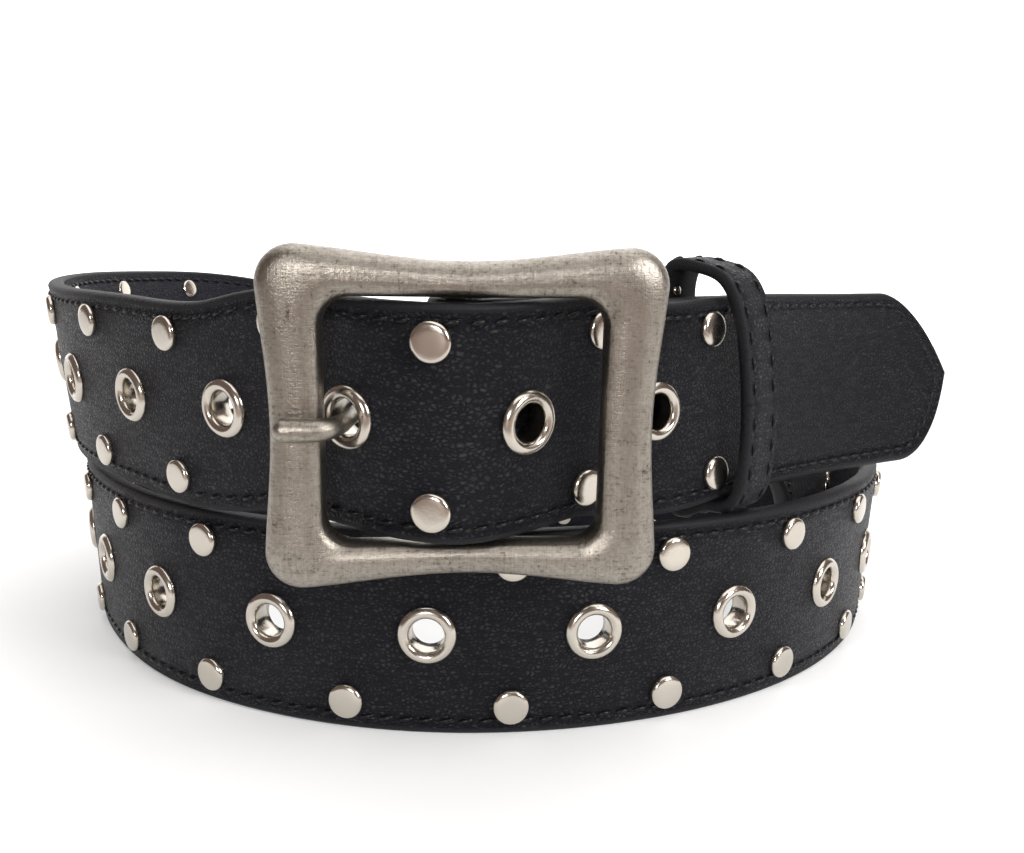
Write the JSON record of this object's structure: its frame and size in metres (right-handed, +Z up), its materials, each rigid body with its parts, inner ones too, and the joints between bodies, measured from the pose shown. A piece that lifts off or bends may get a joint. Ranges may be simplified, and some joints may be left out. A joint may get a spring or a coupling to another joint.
{
  "type": "studded belt",
  "caption": "Buckled leather belt with studs and eyelets, its closed loop wound in two turns that stand on edge.",
  "frame": {"origin": "bottom centre of the bounding box, on the surface the coil stands on", "axes": "+Z up across the strap's width, -Y towards the front of the buckle, +X towards the belt's free end"},
  "size_m": [0.2148, 0.2045, 0.0866],
  "materials": {
    "leather": "black grained leather, slightly glossy",
    "keeper_leather": "matte dark grey leather",
    "nickel": "polished nickel",
    "pewter": "antique silver with brushed scratches"
  },
  "bodies": {
    "root": {"strap": "leather", "eyelet_01": "nickel", "eyelet_02": "nickel", "eyelet_03": "nickel", "eyelet_04": "nickel", "eyelet_05": "nickel", "eyelet_06": "nickel", "eyelet_07": "nickel", "eyelet_08": "nickel", "eyelet_09": "nickel", "eyelet_10": "nickel", "eyelet_11": "nickel", "eyelet_12": "nickel", "eyelet_13": "nickel", "eyelet_14": "nickel", "eyelet_15": "nickel", "eyelet_16": "nickel", "eyelet_17": "nickel", "eyelet_18": "nickel", "eyelet_19": "nickel", "eyelet_20": "nickel", "eyelet_21": "nickel", "eyelet_22": "nickel", "eyelet_23": "nickel", "eyelet_24": "nickel", "eyelet_25": "nickel", "eyelet_26": "nickel", "eyelet_27": "nickel", "eyelet_28": "nickel", "eyelet_29": "nickel", "eyelet_30": "nickel", "eyelet_31": "nickel", "eyelet_32": "nickel", "eyelet_33": "nickel", "eyelet_34": "nickel", "eyelet_35": "nickel", "eyelet_36": "nickel", "eyelet_37": "nickel", "buckle_frame": "pewter", "prong": "pewter", "keeper": "keeper_leather", "keeper_rivet": "nickel"}
  },
  "joints": []
}
